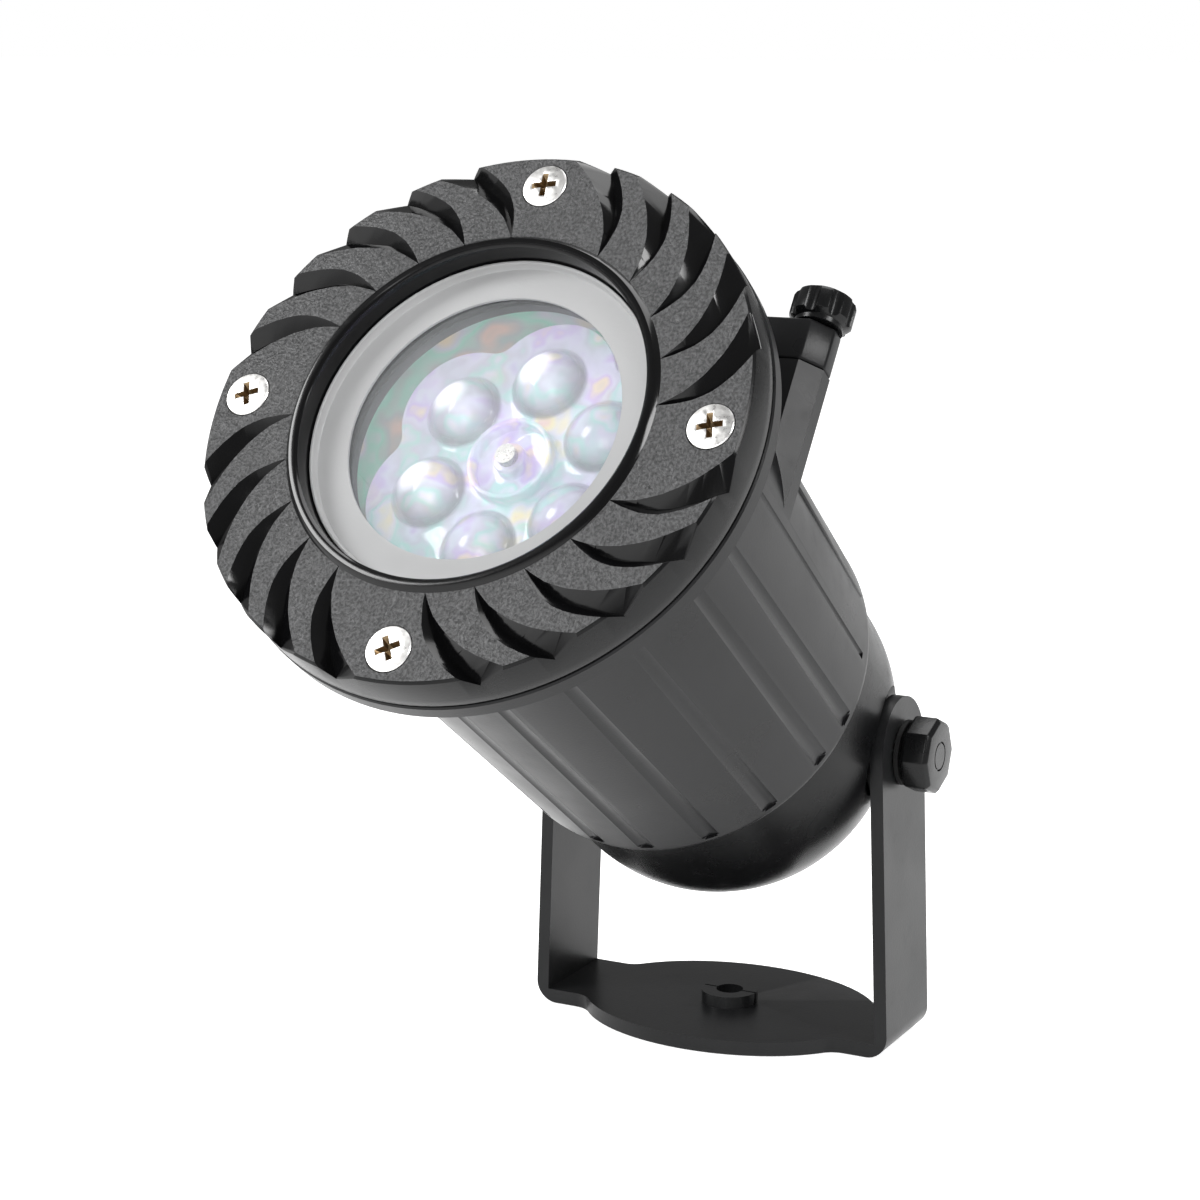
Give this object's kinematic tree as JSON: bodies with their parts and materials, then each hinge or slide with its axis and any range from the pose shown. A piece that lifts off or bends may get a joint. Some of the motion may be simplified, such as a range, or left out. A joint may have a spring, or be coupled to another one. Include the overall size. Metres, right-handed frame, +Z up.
{
  "type": "outdoor pattern projector light",
  "caption": "Tubular light projector head with a fluted round front bezel and domed back, tilting on a U-shaped bracket with hand knobs.",
  "frame": {"origin": "middle of the base screw hole on the bracket's underside", "axes": "+Z up, away from the surface the base is screwed to, +X along the tilt axis, -Y the way the projector points at rest, raised 36.6 degrees"},
  "size_m": [0.1026, 0.1729, 0.1813],
  "materials": {
    "bracket_plastic": "black moulded plastic with a satin shine",
    "housing_plastic": "black moulded plastic, glossy",
    "bezel_plastic": "black moulded plastic, glossy with a little grey sheen",
    "dome_plastic": "black moulded plastic, glossy",
    "knob_plastic": "black moulded plastic",
    "gland_plastic": "black nylon",
    "washer_rubber": "black rubber",
    "seal_rubber": "dark grey rubber",
    "zinc_screws": "bright zinc plated steel",
    "insert_brass": "plain brass",
    "pale_ring_plastic": "pale grey moulded plastic",
    "window_glass": "clear glass",
    "clear_lens": "clear moulded acrylic",
    "sink_aluminium": "bare aluminium",
    "board_white": "white solder mask",
    "board_green": "green solder mask",
    "led_lens": "yellow phosphor dome",
    "inner_plastic": "off-white moulded plastic",
    "motor_steel": "bright steel",
    "component_plastic": "dark moulded plastic",
    "pattern_film": "printed colour film"
  },
  "bodies": {
    "bracket": {"yoke_bracket": "bracket_plastic"},
    "head": {"barrel_housing": "housing_plastic", "front_bezel": "bezel_plastic", "bezel_screws": "zinc_screws", "bezel_seal": "seal_rubber", "glass_ring": "pale_ring_plastic", "front_glass": "window_glass", "glass_seal": "seal_rubber", "rear_dome": "dome_plastic", "dome_seal": "seal_rubber", "dome_screws": "zinc_screws", "pivot_inserts": "insert_brass", "gland_body": "gland_plastic", "gland_locknut": "gland_plastic", "gland_nut": "gland_plastic", "gland_seal": "seal_rubber", "heat_sink": "sink_aluminium", "sink_screws": "zinc_screws", "led_board": "board_white", "led_emitters": "led_lens", "condenser_holder": "inner_plastic", "condenser_lenses": "clear_lens", "slide_guide": "inner_plastic", "motor_bracket": "inner_plastic", "bracket_screws": "zinc_screws", "gear_motor": "motor_steel", "driver_board": "board_green", "driver_parts": "component_plastic", "board_pillars": "insert_brass", "board_screws": "zinc_screws", "cap_inserts": "insert_brass"},
    "lens_rotor": {"motor_shaft": "motor_steel", "lens_disc": "clear_lens", "disc_screw": "zinc_screws"},
    "slide_carrier": {"slide_cap": "housing_plastic", "cap_seal": "seal_rubber", "slide_frame": "inner_plastic", "slide_film": "pattern_film"},
    "cap_screw_left": {"cap_knob_left": "knob_plastic", "cap_stud_left": "zinc_screws"},
    "tilt_knob_left": {"pivot_knob_left": "knob_plastic", "pivot_stud_left": "zinc_screws", "pivot_washer_left": "washer_rubber"},
    "cap_screw_right": {"cap_knob_right": "knob_plastic", "cap_stud_right": "zinc_screws"},
    "tilt_knob_right": {"pivot_knob_right": "knob_plastic", "pivot_stud_right": "zinc_screws", "pivot_washer_right": "washer_rubber"}
  },
  "joints": [
    {"name": "head_tilt", "type": "hinge", "parent": "bracket", "child": "head", "pos_m": [0, 0, 0.0612], "axis": [-1, 0, 0], "range_deg": [-20, 120]},
    {"name": "lens_plate_spin", "type": "hinge", "parent": "head", "child": "lens_rotor", "pos_m": [0, -0.08831, 0.12679], "axis": [0, -0.8028, 0.5962], "continuous": true},
    {"name": "slide_carrier_lift", "type": "slide", "parent": "head", "child": "slide_carrier", "axis": [0, 0.5962, 0.8028], "range_m": [0, 0.06]},
    {"name": "cap_screw_turn_left", "type": "hinge", "parent": "slide_carrier", "child": "cap_screw_left", "pos_m": [-0.036, -0.04222, 0.14985], "axis": [0, 0.5962, 0.8028], "continuous": true},
    {"name": "tilt_knob_turn_left", "type": "hinge", "parent": "head", "child": "tilt_knob_left", "pos_m": [-0.044, 0, 0.0612], "axis": [-1, 0, 0], "continuous": true},
    {"name": "cap_screw_turn_right", "type": "hinge", "parent": "slide_carrier", "child": "cap_screw_right", "pos_m": [0.036, -0.04222, 0.14985], "axis": [0, 0.5962, 0.8028], "continuous": true},
    {"name": "tilt_knob_turn_right", "type": "hinge", "parent": "head", "child": "tilt_knob_right", "pos_m": [0.044, 0, 0.0612], "axis": [1, 0, 0], "continuous": true}
  ]
}
